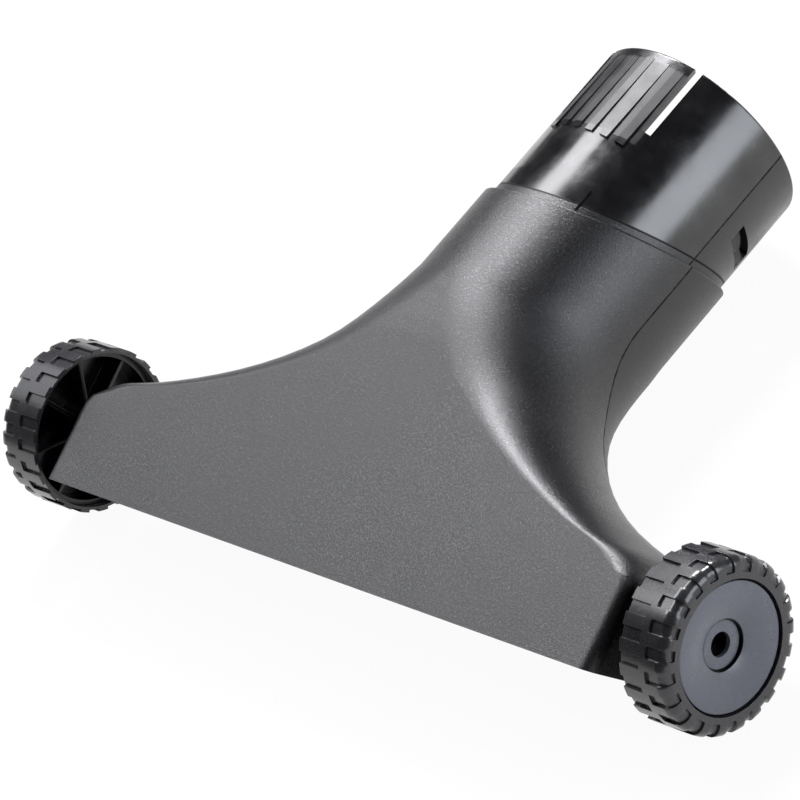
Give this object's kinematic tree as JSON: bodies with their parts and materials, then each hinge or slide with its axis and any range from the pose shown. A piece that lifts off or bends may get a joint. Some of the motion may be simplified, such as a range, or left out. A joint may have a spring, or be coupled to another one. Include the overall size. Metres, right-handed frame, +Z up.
{
  "type": "vacuum cleaner wide floor nozzle",
  "caption": "Wide two-wheeled floor nozzle for a vacuum cleaner: a flat mouth that flares into a slanted collar and a round hose tube with a slotted latch tab.",
  "frame": {"origin": "on the floor under the middle of the part as it lies on its back, on its wheels and the lower rear edge of its collar", "axes": "+X along the wheel axles towards the right wheel, +Y from the mouth to the hose end, +Z up, out of the flat front face"},
  "size_m": [0.2688, 0.174, 0.0692],
  "materials": {
    "body_grained": "fine-grained matte black moulding",
    "tyre_black": "semi-gloss black tread",
    "hub_satin": "satin dark grey moulding",
    "screw_steel": "dark oiled steel",
    "washer_dark": "plain dark plastic"
  },
  "bodies": {
    "nozzle": {"nozzle_body": "body_grained", "right_axle_screw": "screw_steel", "right_axle_washer": "washer_dark", "left_axle_screw": "screw_steel", "left_axle_washer": "washer_dark"},
    "right_wheel": {"right_wheel_tyre": "tyre_black", "right_wheel_hub": "hub_satin"},
    "left_wheel": {"left_wheel_tyre": "tyre_black", "left_wheel_hub": "hub_satin"}
  },
  "joints": [
    {"name": "right_wheel_spin", "type": "hinge", "parent": "nozzle", "child": "right_wheel", "pos_m": [0.12645, -0.06114, 0.02365], "axis": [1, 0, 0], "continuous": true},
    {"name": "left_wheel_spin", "type": "hinge", "parent": "nozzle", "child": "left_wheel", "pos_m": [-0.12645, -0.06114, 0.02365], "axis": [1, 0, 0], "continuous": true}
  ]
}
